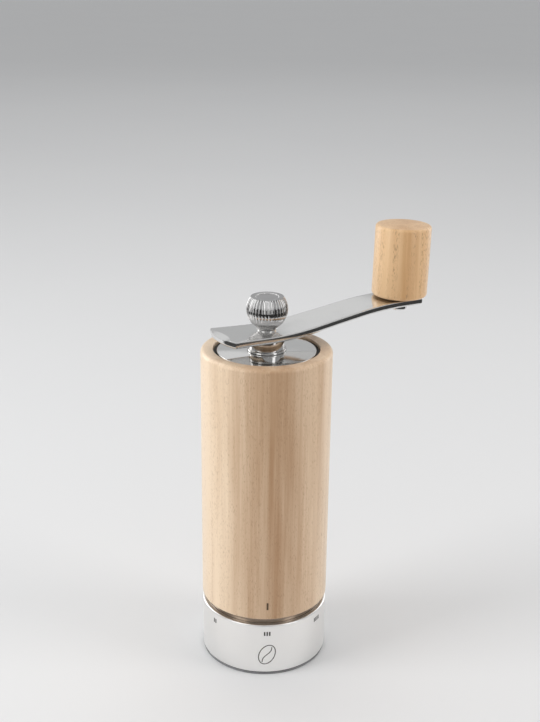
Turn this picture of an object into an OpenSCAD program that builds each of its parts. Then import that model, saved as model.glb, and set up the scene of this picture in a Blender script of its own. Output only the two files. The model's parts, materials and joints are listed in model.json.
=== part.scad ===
// Hand-crank burr coffee grinder: a turned beech body on a stainless steel base ring.
// The bean hopper is under the steel cover, the conical burrs are half way down the
// body, and the grounds fall into a cup that stands in the base. Turning the base ring
// moves the ring burr up or down, and so sets the grind.
// Millimetres, +Z up, origin at the centre of the foot's underside, front towards -Y.

/* [Body] */
// Outer diameter of the wooden body
body_d = 56; // [46:0.5:72]
// Thickness of the wooden wall
body_wall = 5.35; // [4:0.05:8]
// Rounding of the wood's outer top edge
rim_round = 1.8; // [0.5:0.1:3]
// Height of the groove between the wood and the base ring
groove_h = 3.1; // [1:0.1:6]
// How far the cover lies below the wooden rim
cover_recess = 0.9; // [0.2:0.1:4]

/* [Base] */
// Thickness of the rubber foot
foot_h = 1.0; // [0.6:0.1:3]
// Gap between the foot and the base ring
foot_gap = 0.4; // [0.2:0.1:1]
// Height of the base ring
ring_h = 23.8; // [20:0.1:34]
// Wall of the base ring outside the neck
ring_wall = 2.14; // [1.8:0.02:4]
// Number of grind settings round the base ring
settings = 6; // [4:1:8]
// Turn of the base ring from its first setting to its last
selector_sweep = 270; // [180:5:300]
// Lift of the ring burr from one setting to the next
setting_lift = 0.24; // [0.1:0.01:0.3]

/* [Cup] */
// Height of the grounds cup, from its flange's underside to its rim
cup_h = 65; // [40:1:90]
// Wall of the grounds cup
cup_wall = 0.8; // [0.6:0.1:2]
// Thickness of the cup's flange and floor
cup_floor = 2.2; // [2:0.1:4]

/* [Mechanism] */
// Wall of the steel chassis tube
chassis_wall = 1.9; // [1.4:0.1:3]
// Wall of the adjusting sleeve
sleeve_wall = 1.4; // [1:0.1:2.4]
// Height of the ring burr
ring_burr_h = 14; // [10:0.5:20]
// Height of the cone burr
cone_burr_h = 22; // [18:0.5:30]
// Diameter of the drive shaft
shaft_d = 6; // [5:0.1:7]
// Clear height between the two bearing spiders
spider_gap = 11; // [8:0.5:40]
// Clear height above the upper spider, where the beans go in
hopper_h = 17.6; // [17:0.1:60]

/* [Crank] */
// Distance from the mill's axis to the grip's axis
crank_reach = 68.4; // [50:0.5:95]
// Thickness of the arm's steel plate
arm_t = 3; // [2:0.1:5]
// Width of the arm at its tail
tail_w = 22; // [18:0.5:27]
// Width of the arm at the grip
grip_end_w = 17; // [14:0.5:22]
// How far the tail's corners lie behind the mill's axis
tail_reach = 20.9; // [16:0.1:27]
// Slope of the middle of the arm, in degrees
arm_slope = 7.4; // [4:0.1:11]
// Direction in which the crank rests, in degrees from +X
crank_rest = 27.5; // [0:0.5:360]

/* [Grip and knob] */
// Diameter of the wooden grip
grip_d = 24.6; // [20:0.1:32]
// Height of the wooden grip
grip_h = 31.75; // [28:0.25:50]
// Outward lean of the grip, in degrees
grip_lean = 1.35; // [0:0.05:3]
// Diameter of the ball knob
knob_d = 17.6; // [14:0.1:22]
// Number of flutes round the knob
flutes = 36; // [12:1:48]

/* [Clearances] */
// Radial clearance of a running fit
run_fit = 0.05; // [0.02:0.01:0.1]
// Free gap between parts that move past each other
free_gap = 0.4; // [0.3:0.05:0.8]
// Gap between parts that only just clear
thin_gap = 0.1; // [0.05:0.05:0.3]

/* [Hidden] */

$fn = 72;
cut = 0.5;               // how far a cutting tool runs past the face it opens

beech = [0.86, 0.70, 0.50];
steel = [0.80, 0.80, 0.79];
dark_steel = [0.42, 0.42, 0.43];
bronze = [0.72, 0.53, 0.27];
rubber = [0.30, 0.30, 0.31];

// ---- radii, from the outside in ----
body_r = body_d / 2;
bore_r = body_r - body_wall;
ring_r = body_r - 0.1;
neck_r = ring_r - ring_wall - run_fit;
ring_bore = neck_r + run_fit;
chassis_in = bore_r - chassis_wall;
sleeve_out = chassis_in - free_gap;
sleeve_in = sleeve_out - sleeve_wall;
cup_out = sleeve_in - free_gap;
cup_in = cup_out - cup_wall;
flange_r = neck_r - 1.4;
foot_r = body_r - 0.4;
holder_r = sleeve_in - 0.08;
holder_wall = 2.7;
ring_burr_r = holder_r - holder_wall;
burr_land_r = ring_burr_r - 2.8;
cone_r = burr_land_r - 0.3;
shaft_r = shaft_d / 2;

// ---- heights, from the table up ----
ring_bottom = foot_h + foot_gap;
ring_top = ring_bottom + ring_h;
wood_bottom = ring_top + groove_h;
flange_top = foot_h + cup_floor;
ring_floor = flange_top + thin_gap;
ring_floor_t = 1.9;
sleeve_flange_t = 2.2;
sleeve_bottom = ring_floor + ring_floor_t;
neck_bottom = sleeve_bottom + sleeve_flange_t + free_gap;
cup_rim = foot_h + cup_h;
nut_h = 3.2;
washer_t = 1;
shaft_bottom = cup_rim + 1.8;
nut_bottom = shaft_bottom + 0.6;
cone_bottom = nut_bottom + nut_h + washer_t;
cone_top = cone_bottom + cone_burr_h;
burr_bottom = cone_bottom + 0.8;
burr_top = burr_bottom + ring_burr_h;
holder_bottom = burr_bottom - 2;
lug_h = 4;
lug_bottom = burr_top - lug_h;
sleeve_top = lug_bottom - 3.6;
spider_h = 8;            // height of a spider's hub
spider_ring_h = 6;
spider_drop = 1;         // how far the hub stands below and above the ring
lower_z = max(cone_top + 3, burr_top + 9);
upper_z = lower_z + spider_h + spider_gap;
chassis_top = upper_z + spider_drop + spider_ring_h + hopper_h;
cover_t = 1.5;
cover_top = chassis_top + cover_t;
body_top = cover_top + cover_recess;

// ---- spiders, bearings and shaft ----
hub_r = 8.4;
arm_w = 4;
arm_count = 3;
spider_in = chassis_in - 2.8;
bearing_r = 6.5;
bearing_h = 5;
bearing_lip = 2;
collar_r = 5.6;
collar_h = 2.6;
square_w = shaft_d * 0.7;
square_gap = 0.1;
collar_z = upper_z + spider_h + 0.3;
socket_depth = 10.4;
shaft_top = cover_top - 3.7;

// ---- screws and lugs ----
screw_r = 1.1;           // spider screws
screw_turn = 60;
screw_z = spider_drop + spider_ring_h / 2;
screw_len = chassis_wall + 2.2;
sleeve_flange_r = ring_bore - 0.6;
selector_screw_ring = (sleeve_out + sleeve_flange_r) / 2;
selector_screw_r = 0.9;
selector_head_r = 1.6;
selector_head_h = 0.9;
burr_screw_r = 1;
lug_w = 4;               // lugs that keep the burr holder from turning
lug_reach = chassis_in + chassis_wall - 0.8;

// ---- burrs ----
ring_teeth = 30;
cone_teeth = 30;
feed_flutes = 6;

// ---- cover and crank hub ----
spindle_r = 5;
spindle_bottom = cover_top - 13.5;
bush_r = 7;
bush_bottom = cover_top - 10.2;
boss_r = 9.6;
cover_r = bore_r - thin_gap;
cover_step = 1.4;
cover_flange_t = 0.7;
skirt_out = chassis_in - 0.3;
skirt_in = skirt_out - 2.8;
skirt_h = 6.6;
seal_r = 0.9;
hub_collar_r = 7.6;
hub_foot_r = hub_collar_r + 0.7;
hub_foot_h = 1;
hub_collar_h = 5.6;
hub_collar_bottom = cover_top + thin_gap;
arm_seat = hub_collar_bottom + hub_collar_h;
tenon_r = 4;
stud_r = 2;
stud_len = 9;
seat_r = 4.6;            // spot face under the knob's washer
clip_t = 0.8;
clip_z = bush_bottom - 0.4 - clip_t;
clip_groove = 0.6;

// ---- shape of the arm, seen from the side: straight, bend, straight, bend, straight ----
tail_slope = -2.86;      // the tail rises away from the hub
bend_1 = [-6, 20];       // start and end of the bend at the hub, along the arm
bend_2 = [crank_reach - 26.4, crank_reach - 2.4];
slopes = [tan(tail_slope), tan(arm_slope), -tan(grip_lean)];
arm_end = crank_reach + 6.6;
tail_bulge = 2.6;
end_bulge = 1.6;
scoop_depth = 0.65;      // dip in the top of the tail
scoop_len = 4.5;

// Height gained along a bend that starts at slope a and ends at slope b
function bend_rise(x, span, a, b) =
  a * x + (b - a) * x * x / (2 * span);

// Height of the arm's top above its height at the hub end of the first bend
function arm_rise(x) =
  x < bend_1[0] ? slopes[0] * (x - bend_1[0]) :
  x < bend_1[1] ? bend_rise(x - bend_1[0], bend_1[1] - bend_1[0], slopes[0], slopes[1]) :
  x < bend_2[0] ? arm_rise(bend_1[1] - 0.0001) + slopes[1] * (x - bend_1[1]) :
  x < bend_2[1] ? arm_rise(bend_2[0] - 0.0001)
    + bend_rise(x - bend_2[0], bend_2[1] - bend_2[0], slopes[1], slopes[2]) :
  arm_rise(bend_2[1] - 0.0001) + slopes[2] * (x - bend_2[1]);

arm_top_0 = arm_seat + 0.1 + arm_t;      // height of the arm's top on the mill's axis
function arm_top(x) = arm_top_0 + arm_rise(x) - arm_rise(0);

knob_seat = arm_top_0 - 0.07;
knob_washer_t = 0.5;
knob_bottom = knob_seat + knob_washer_t;
knob_r = knob_d / 2;
knob_neck_r = 3.4;
knob_centre = knob_bottom + knob_r * 0.995;
knob_flat = 5.4;         // height of the flat top above the ball's centre

// ---- grip, in its own frame: z = 0 on the arm's top face ----
grip_z = arm_top(crank_reach);
grip_washer_t = 0.5;
grip_bottom = grip_washer_t + run_fit;
grip_r = grip_d / 2;
bolt_r = 3;
bolt_head_r = 4.2;
bolt_head_h = 3.2;
grip_sleeve_r = 5.5;
grip_sleeve_h = 23;
sleeve_step = 18;        // height of the step that the bolt's head holds
grip_nut_r = 4;
grip_nut_h = 3;

// ---- marks ----
stroke = [0.55, 2.0];
stroke_pitch = 1.1;
mark_depth = 0.25;
mark_drop = 4.2;         // centre of the marks below the ring's top
index_size = [0.85, 3.5];
index_rise = 6.5;        // centre of the index mark above the wood's lower edge
bean_size = [3.6, 5.2];  // half sizes of the bean emblem
bean_line = 0.45;
bean_rise = 9;           // centre of the emblem above the ring's lower edge
bean_lean = -24;
detent_r = 1.2;

// ---- helpers ----
// Rectangle from [x0, y0] to [x1, y1] with rounded outer top, outer bottom, inner top and
// inner bottom corners
module soft_rect(x0, x1, y0, y1, ot = 0, ob = 0, it = 0, ib = 0) {
  difference() {
    translate([x0, y0]) square([x1 - x0, y1 - y0]);
    if (ot > 0) soft_corner(x1, y1, -1, -1, ot);
    if (ob > 0) soft_corner(x1, y0, -1, 1, ob);
    if (it > 0) soft_corner(x0, y1, 1, -1, it);
    if (ib > 0) soft_corner(x0, y0, 1, 1, ib);
  }
}

// What a rounding of radius r takes off the corner at [x, y]; sx and sy point inwards
module soft_corner(x, y, sx, sy, r) {
  difference() {
    translate([sx < 0 ? x - r : x - cut, sy < 0 ? y - r : y - cut]) square([r + cut, r + cut]);
    translate([x + sx * r, y + sy * r]) circle(r = r);
  }
}

// Ring between two radii, with softened outer corners
module soft_ring(r_in, r_out, z0, z1, ot = 0, ob = 0, it = 0, ib = 0) {
  rotate_extrude() soft_rect(r_in, r_out, z0, z1, ot, ob, it, ib);
}

// Plain drilled disc
module tube(r_in, r_out, z0, z1) {
  difference() {
    translate([0, 0, z0]) cylinder(r = r_out, h = z1 - z0);
    translate([0, 0, z0 - cut]) cylinder(r = r_in, h = z1 - z0 + 2 * cut);
  }
}

module around(count, start = 0) {
  for (i = [0 : count - 1]) rotate([0, 0, start + i * 360 / count]) children();
}

module at_crank() {
  rotate([0, 0, crank_rest]) children();
}

module at_grip() {
  at_crank() translate([crank_reach, 0, grip_z]) rotate([0, grip_lean, 0]) children();
}

// ---- cup that stands on the table ----
magnet_r = 2;
magnet_h = 1.5;
magnet_ring = (cup_out + flange_r) / 2;

module foot_pad() {
  color(rubber) soft_ring(0, foot_r, 0, foot_h, 0.3, 0.3);
}

module ground_cup() {
  color(steel) difference() {
    union() {
      soft_ring(0, flange_r, foot_h, flange_top, 0.3);
      translate([0, 0, flange_top - cut]) cylinder(r = cup_out, h = cup_rim - flange_top + cut);
    }
    translate([0, 0, flange_top]) cylinder(r = cup_in, h = cup_h);
    around(3) translate([magnet_ring, 0, flange_top - magnet_h])
      cylinder(r = magnet_r, h = magnet_h + cut);
  }
}

module cup_magnets() {
  color(dark_steel) around(3) translate([magnet_ring, 0, flange_top - magnet_h])
    cylinder(r = magnet_r, h = magnet_h);
}

// ---- mill body ----
spigot_r = neck_r - 1.1;
spigot_h = 6;

module wood_body() {
  color(beech) difference() {
    soft_ring(bore_r, body_r, wood_bottom, body_top, rim_round, 0.5, 0.4);
    translate([0, 0, wood_bottom - cut]) cylinder(r = spigot_r, h = spigot_h + cut);
    translate([-index_size[0] / 2, -body_r - 1, wood_bottom + index_rise - index_size[1] / 2])
      cube([index_size[0], 1 + mark_depth, index_size[1]]);
  }
}

groove_z = neck_bottom + 2.6;
groove_w = 1.2;
groove_depth = 0.8;
detent_z = ring_top - 8;

module neck_ring() {
  color(steel) difference() {
    union() {
      tube(bore_r, neck_r, neck_bottom, wood_bottom);
      tube(bore_r, spigot_r, wood_bottom - cut, wood_bottom + spigot_h);
    }
    tube(neck_r - groove_depth, neck_r + 1, groove_z - thin_gap, groove_z + groove_w + thin_gap);
    around(2) translate([neck_r - 2.5, 0, detent_z]) rotate([0, 90, 0])
      cylinder(r = detent_r + run_fit, h = 4);
  }
}

module detent_plungers() {
  color(dark_steel) around(2) translate([neck_r - 2.5, 0, detent_z]) rotate([0, 90, 0])
    intersection() {
      cylinder(r = detent_r, h = 2.5);
      translate([0, 0, 2.5 - 2.2]) sphere(r = 2.2);
    }
}

module chassis_tube() {
  color(steel) difference() {
    tube(chassis_in, bore_r, neck_bottom, chassis_top);
    around(arm_count) translate([chassis_in - 1, -lug_w / 2 - thin_gap, lug_bottom - 2.5])
      cube([1 + chassis_wall - 0.3, lug_w + 2 * thin_gap, lug_h + 5]);
    for (z = [lower_z, upper_z])
      around(arm_count, screw_turn) translate([chassis_in - 1, 0, z + screw_z]) rotate([0, 90, 0])
        cylinder(r = screw_r, h = chassis_wall + 2);
  }
}

module bean_funnel() {
  throat = burr_land_r + 1.6;
  z0 = lower_z + spider_drop - 8;
  color(steel) rotate_extrude() polygon([
    [throat, z0], [chassis_in, z0], [chassis_in, z0 + 8],
    [spider_in, z0 + 8], [throat, z0 + 2]
  ]);
}

module spider(z) {
  difference() {
    union() {
      translate([0, 0, z]) cylinder(r = hub_r, h = spider_h);
      tube(spider_in, chassis_in, z + spider_drop, z + spider_drop + spider_ring_h);
      around(arm_count, screw_turn) translate([hub_r - 1, -arm_w / 2, z + spider_drop])
        cube([spider_in - hub_r + 1.6, arm_w, spider_ring_h - 1]);
    }
    translate([0, 0, z - cut]) cylinder(r = shaft_r + 1.4, h = spider_h + 2 * cut);
    translate([0, 0, z + bearing_lip]) cylinder(r = bearing_r, h = spider_h);
    around(arm_count, screw_turn) translate([bore_r - screw_len, 0, z + screw_z])
      rotate([0, 90, 0]) cylinder(r = screw_r, h = screw_len + cut);
  }
}

module lower_spider() {
  color(steel) spider(lower_z);
}

module upper_spider() {
  color(steel) spider(upper_z);
}

// Shielded ball bearing, drawn as one ring with a shallow shield groove on each side
module bearing(z) {
  difference() {
    tube(shaft_r + run_fit, bearing_r, z, z + bearing_h);
    for (side = [z - cut, z + bearing_h - 0.3])
      tube(shaft_r + 1, bearing_r - 0.9, side, side + 0.3 + cut);
  }
}

module lower_bearing() {
  color(dark_steel) bearing(lower_z + bearing_lip);
}

module upper_bearing() {
  color(dark_steel) bearing(upper_z + bearing_lip);
}

module spider_screws() {
  color(dark_steel) for (z = [lower_z, upper_z])
    around(arm_count, screw_turn) translate([bore_r - screw_len, 0, z + screw_z])
      rotate([0, 90, 0]) cylinder(r = screw_r, h = screw_len - 0.2);
}

// ---- grind selector ----
mark_turn = selector_sweep / (settings - 1);

// Cuts a sketch, drawn flat with its centre at height z, into the front of a round wall
module engrave(r, z) {
  translate([0, -r + mark_depth, z]) rotate([90, 0, 0]) linear_extrude(height = 1 + mark_depth)
    children();
}

module strokes(count) {
  for (i = [0 : count - 1])
    translate([(i - (count - 1) / 2) * stroke_pitch, 0]) square(stroke, center = true);
}

function ellipse(a, b, n = 40) = [for (i = [0 : n - 1]) [a * cos(i * 360 / n), b * sin(i * 360 / n)]];

// Outline of a coffee bean with its wavy crease
module bean_sketch() {
  difference() {
    polygon(ellipse(bean_size[0], bean_size[1]));
    polygon(ellipse(bean_size[0] - bean_line, bean_size[1] - bean_line));
  }
  reach = bean_size[1] - 2 * bean_line;
  steps = 12;
  crease = [for (i = [0 : steps]) let (t = -1 + 2 * i / steps) [0.8 * sin(t * 150), t * reach]];
  polygon([
    for (p = crease) p + [bean_line / 2, 0],
    for (i = [steps : -1 : 0]) crease[i] - [bean_line / 2, 0]
  ]);
}

module base_ring() {
  color(steel) difference() {
    union() {
      soft_ring(ring_bore, ring_r, ring_bottom, ring_top, 0.6, 0.4);
      tube(sleeve_in, ring_bore + 0.5, ring_floor, sleeve_bottom);
    }
    tube(ring_bore - 1, ring_bore + groove_depth, groove_z, groove_z + groove_w);
    for (i = [1 : settings])
      rotate([0, 0, (i - 3) * mark_turn]) engrave(ring_r, ring_top - mark_drop) strokes(i);
    engrave(ring_r, ring_bottom + bean_rise) rotate([0, 0, bean_lean]) bean_sketch();
    around(2) for (i = [1 : settings])
      rotate([0, 0, (i - 3) * mark_turn])
        translate([ring_bore - 0.5, 0, detent_z]) sphere(r = detent_r);
    around(3, 30) translate([selector_screw_ring, 0, ring_floor - cut]) {
      cylinder(r = selector_screw_r, h = ring_floor_t + 2 * cut);
      cylinder(r = selector_head_r, h = selector_head_h + cut);
    }
  }
}

module adjusting_sleeve() {
  color(steel) difference() {
    union() {
      tube(sleeve_in, sleeve_out, sleeve_bottom, sleeve_top);
      tube(sleeve_in, sleeve_flange_r, sleeve_bottom, sleeve_bottom + sleeve_flange_t);
    }
    around(3, 30) translate([selector_screw_ring, 0, sleeve_bottom - cut])
      cylinder(r = selector_screw_r, h = sleeve_flange_t + 2 * cut);
  }
}

module selector_screws() {
  color(dark_steel) around(3, 30) translate([selector_screw_ring, 0, ring_floor]) {
    cylinder(r = selector_screw_r, h = ring_floor_t + sleeve_flange_t - 0.2);
    cylinder(r = selector_head_r, h = selector_head_h);
  }
}

module retaining_ring() {
  color(dark_steel)
    tube(neck_r - groove_depth + 0.3, ring_bore + groove_depth, groove_z, groove_z + groove_w);
}

// ---- ring burr and its holder, which the selector raises and lowers ----
module burr_holder() {
  color(steel) difference() {
    union() {
      tube(ring_burr_r, holder_r, burr_bottom - cut, lug_bottom + cut);
      tube(burr_land_r + 0.6, holder_r, holder_bottom, burr_bottom);
      tube(ring_burr_r, chassis_in - 0.3, lug_bottom, burr_top);
      around(arm_count) translate([ring_burr_r + 1, -lug_w / 2, lug_bottom])
        cube([lug_reach - ring_burr_r - 1, lug_w, lug_h]);
    }
    around(3, 60) translate([ring_burr_r - 1, 0, lug_bottom + lug_h / 2]) rotate([0, 90, 0])
      cylinder(r = burr_screw_r, h = holder_wall + 4);
  }
}

module ring_burr() {
  mouth_r = ring_burr_r - 1;
  land_top = burr_bottom + 2.5;
  color(dark_steel) difference() {
    rotate_extrude() polygon([
      [burr_land_r, burr_bottom], [ring_burr_r, burr_bottom], [ring_burr_r, burr_top],
      [mouth_r, burr_top], [burr_land_r, land_top]
    ]);
    around(ring_teeth) translate([burr_land_r + 0.1, 0, burr_bottom + 2]) rotate([18, 0, 0])
      cube([1.4, 0.9, 9], center = true);
  }
}

module burr_screws() {
  length = chassis_in - 0.3 - ring_burr_r;
  color(dark_steel) around(3, 60) translate([ring_burr_r, 0, lug_bottom + lug_h / 2])
    rotate([0, 90, 0]) cylinder(r = burr_screw_r, h = length - 0.2);
}

// ---- shaft and cone burr ----
module drive_shaft() {
  round_top = upper_z + spider_h + collar_h + 0.5;
  color(steel) {
    translate([0, 0, shaft_bottom]) cylinder(r = shaft_r, h = round_top - shaft_bottom);
    rotate([0, 0, crank_rest])
      translate([-square_w / 2, -square_w / 2, round_top - cut])
        cube([square_w, square_w, shaft_top - round_top + cut]);
  }
}

module cone_burr() {
  top_r = shaft_r + 2;
  land = 2;
  flute_lean = atan((cone_r - top_r) / (cone_burr_h - land)) + 4;
  color(dark_steel) difference() {
    rotate_extrude() polygon([
      [shaft_r, cone_bottom], [cone_r, cone_bottom], [cone_r, cone_bottom + land],
      [top_r, cone_top], [shaft_r, cone_top]
    ]);
    around(cone_teeth) translate([cone_r, 0, cone_bottom + 1]) rotate([-18, 0, 0])
      cube([1.4, 0.9, 8], center = true);
    around(feed_flutes) translate([cone_r - 2.4, 0, cone_bottom + cone_burr_h * 0.62])
      rotate([-22, -flute_lean, 0]) cylinder(r = 2.1, h = cone_burr_h * 0.9, center = true);
  }
}

module cone_washer() {
  color(steel) tube(shaft_r, shaft_r + 4, cone_bottom - washer_t, cone_bottom);
}

module cone_nut() {
  color(steel) difference() {
    translate([0, 0, nut_bottom]) cylinder(r = shaft_r + 2.8, h = nut_h, $fn = 6);
    translate([0, 0, nut_bottom - cut]) cylinder(r = shaft_r, h = nut_h + 2 * cut);
  }
}

module shaft_spacer() {
  color(steel) tube(shaft_r, shaft_r + 0.9, cone_top, lower_z + bearing_lip);
}

module shaft_collar() {
  color(steel) difference() {
    tube(shaft_r, collar_r, collar_z, collar_z + collar_h);
    translate([shaft_r - 1, 0, collar_z + collar_h / 2]) rotate([0, 90, 0])
      cylinder(r = 0.8, h = collar_r);
  }
}

module collar_screw() {
  color(dark_steel) translate([shaft_r, 0, collar_z + collar_h / 2]) rotate([0, 90, 0])
    cylinder(r = 0.8, h = collar_r - shaft_r - 0.2);
}

// ---- cover that lifts off with the crank ----
module cover_plate() {
  seal_z = chassis_top - skirt_h / 2;
  color(steel) difference() {
    union() {
      soft_ring(bush_r, cover_r - cover_step, chassis_top, cover_top, 0.25);
      tube(bush_r, cover_r, chassis_top, chassis_top + cover_flange_t);
      tube(bush_r, boss_r, bush_bottom, chassis_top + cut);
      tube(skirt_in, skirt_out, chassis_top - skirt_h, chassis_top + cut);
    }
    tube(skirt_out - 2 * seal_r + 0.1, skirt_out + 1, seal_z - seal_r - 0.1, seal_z + seal_r + 0.1);
  }
}

module cover_bush() {
  color(bronze) tube(spindle_r + run_fit, bush_r, bush_bottom, cover_top);
}

module cover_seal() {
  color(rubber) rotate_extrude() translate([chassis_in - thin_gap - seal_r, chassis_top - skirt_h / 2])
    circle(r = seal_r);
}

// ---- crank ----
module crank_spindle() {
  color(steel) at_crank() difference() {
    union() {
      translate([0, 0, spindle_bottom]) cylinder(r = spindle_r, h = arm_seat - spindle_bottom);
      translate([0, 0, arm_seat - cut]) cylinder(r = tenon_r, h = knob_seat - 0.3 - arm_seat + cut);
    }
    tube(spindle_r - clip_groove, spindle_r + 1, clip_z, clip_z + clip_t);
    translate([0, 0, spindle_bottom + socket_depth / 2 - cut / 2])
      cube([square_w + 2 * square_gap, square_w + 2 * square_gap, socket_depth + cut], center = true);
    translate([0, 0, knob_seat - stud_len - 1]) cylinder(r = stud_r + run_fit, h = stud_len + 2);
  }
}

module hub_collar() {
  color(steel) union() {
    soft_ring(spindle_r, hub_collar_r, hub_collar_bottom, arm_seat, 0.2);
    soft_ring(spindle_r, hub_foot_r, hub_collar_bottom, hub_collar_bottom + hub_foot_h, 0.4, 0.2);
  }
}

module spindle_clip() {
  color(dark_steel) difference() {
    tube(spindle_r - clip_groove, spindle_r + 1.7, clip_z, clip_z + clip_t);
    translate([spindle_r - 1.5, -1.5, clip_z - cut]) cube([5, 3, clip_t + 2 * cut]);
  }
}

// Side view of the arm's plate, in x along the arm and z up
module arm_side(x0, x1) {
  steps = 12;
  xs = [
    x0,
    for (bend = [bend_1, bend_2]) for (i = [0 : steps]) bend[0] + (bend[1] - bend[0]) * i / steps,
    x1
  ];
  polygon([
    for (x = xs) [x, arm_top(x)],
    for (i = [len(xs) - 1 : -1 : 0]) [xs[i], arm_top(xs[i]) - arm_t]
  ]);
}

// Outline of the arm seen from above: sides that taper to a waist, and bowed ends
module arm_plan() {
  waist_x = crank_reach * 0.45;
  waist_w = (tail_w + grip_end_w) / 2 - 1.1;
  taper = (tail_w - waist_w) / (tail_reach + waist_x);
  tail_x = -tail_reach - tail_bulge - 1;
  tail_end_w = tail_w + taper * (tail_bulge + 1);
  grip_x = arm_end + end_bulge + 1;
  intersection() {
    polygon([
      [tail_x, tail_end_w / 2], [waist_x, waist_w / 2], [grip_x, grip_end_w / 2],
      [grip_x, -grip_end_w / 2], [waist_x, -waist_w / 2], [tail_x, -tail_end_w / 2]
    ]);
    rotate([0, 0, 180]) bowed_end(tail_reach, tail_w / 2, tail_bulge);
    bowed_end(arm_end, grip_end_w / 2, end_bulge);
  }
}

// Everything behind a bowed end: the arc rises by bulge over a chord at x of half width half_w
module bowed_end(x, half_w, bulge) {
  r = (half_w * half_w + bulge * bulge) / (2 * bulge);
  centre = x + bulge - r;
  translate([centre, 0]) circle(r = r, $fn = 180);
  translate([centre - 2 * crank_reach - r, -tail_w * 0.6]) square([2 * crank_reach + r, tail_w * 1.2]);
}

module crank_arm() {
  color(steel) at_crank() difference() {
    union() {
      intersection() {
        rotate([90, 0, 0]) translate([0, 0, -tail_w])
          linear_extrude(height = 2 * tail_w) arm_side(-tail_reach - tail_bulge - 2, arm_end + end_bulge + 2);
        linear_extrude(height = 2 * body_top) arm_plan();
      }
      translate([0, 0, arm_seat]) cylinder(r = hub_collar_r - 0.2, h = arm_t * 0.6);
    }
    translate([0, 0, arm_seat - cut]) cylinder(r = tenon_r, h = arm_t + 2);
    translate([0, 0, knob_seat]) cylinder(r = seat_r, h = 3);
    tail_scoop();
    translate([crank_reach, 0, grip_z]) rotate([0, grip_lean, 0])
      translate([0, 0, -arm_t - 1]) cylinder(r = bolt_r, h = arm_t + 2);
  }
}

// Shallow lens-shaped dip in the top of the tail
module tail_scoop() {
  scoop_r = (tail_w * tail_w / 4 + scoop_depth * scoop_depth) / (2 * scoop_depth);
  end = -tail_reach - tail_bulge;
  translate([end, 0, arm_top(end)]) rotate([0, 90 - atan(scoop_depth / scoop_len), 0])
    translate([-scoop_r + scoop_depth, 0, -1]) cylinder(r = scoop_r, h = scoop_len + 2, $fn = 360);
}

module grip_bolt() {
  color(dark_steel) at_grip() {
    head_z = grip_bottom + sleeve_step + thin_gap;
    bolt_end = -arm_t - grip_nut_h + 0.8;
    translate([0, 0, bolt_end]) cylinder(r = bolt_r, h = head_z - bolt_end + cut);
    translate([0, 0, head_z]) cylinder(r = bolt_head_r, h = bolt_head_h);
  }
}

module grip_nut() {
  color(steel) at_grip() difference() {
    soft_ring(0, grip_nut_r, -arm_t - grip_nut_h, -arm_t, 0, 0.8);
    translate([0, 0, -arm_t - grip_nut_h + 0.8]) cylinder(r = bolt_r, h = grip_nut_h);
  }
}

module grip_washer() {
  color(dark_steel) at_grip() tube(bolt_r, 6.4, 0, grip_washer_t);
}

// ---- knob that clamps the crank ----
module knob_washer() {
  color(steel) tube(stud_r, 4.1, knob_seat, knob_bottom);
}

module ball_knob() {
  flute_r = 0.5;
  dish_r = 5;
  color(steel) difference() {
    union() {
      intersection() {
        translate([0, 0, knob_centre]) sphere(r = knob_r);
        translate([0, 0, knob_bottom]) cylinder(r = knob_d, h = knob_r + knob_flat - 0.04);
      }
      translate([0, 0, knob_bottom]) cylinder(r1 = knob_neck_r, r2 = knob_neck_r + 2.6, h = 2.4);
    }
    around(flutes) translate([knob_r + 0.2, 0, knob_bottom]) cylinder(r = flute_r, h = knob_d);
    translate([0, 0, knob_bottom - cut]) cylinder(r = stud_r, h = 6 + cut);
    translate([0, 0, knob_centre + knob_flat - 0.25]) cylinder(r = dish_r, h = 1);
  }
}

module knob_stud() {
  color(dark_steel) translate([0, 0, knob_seat - stud_len])
    cylinder(r = stud_r, h = stud_len + knob_washer_t + 6);
}

// ---- wooden grip ----
module grip_handle() {
  color(beech) at_grip() difference() {
    soft_ring(0, grip_r, grip_bottom, grip_bottom + grip_h, 1.3, 1.4);
    translate([0, 0, grip_bottom - cut]) cylinder(r = grip_sleeve_r, h = grip_sleeve_h + cut);
  }
}

module grip_sleeve() {
  color(bronze) at_grip() difference() {
    tube(bolt_r + run_fit, grip_sleeve_r, grip_bottom, grip_bottom + grip_sleeve_h);
    translate([0, 0, grip_bottom + sleeve_step]) cylinder(r = bolt_head_r + 0.3, h = grip_sleeve_h);
  }
}

foot_pad();
ground_cup();
cup_magnets();
wood_body();
neck_ring();
chassis_tube();
bean_funnel();
lower_spider();
upper_spider();
lower_bearing();
upper_bearing();
spider_screws();
detent_plungers();
base_ring();
adjusting_sleeve();
selector_screws();
retaining_ring();
burr_holder();
ring_burr();
burr_screws();
drive_shaft();
cone_burr();
cone_washer();
cone_nut();
shaft_spacer();
shaft_collar();
collar_screw();
cover_plate();
cover_bush();
cover_seal();
crank_spindle();
hub_collar();
spindle_clip();
crank_arm();
grip_bolt();
grip_nut();
grip_washer();
knob_washer();
ball_knob();
knob_stud();
grip_handle();
grip_sleeve();
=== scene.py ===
"""Looks of a hand-crank burr coffee grinder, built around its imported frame.

Sizes in the classes are millimetres; the Bench turns them into metres. Places come from
the boxes of the frame's nodes and from its joints.
"""

import json
import logging
import math
from collections.abc import Callable, Iterable, Iterator, Sequence
from contextlib import contextmanager
from dataclasses import dataclass
from enum import Enum

import bmesh
import bpy
from mathutils import Matrix, Vector


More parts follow.
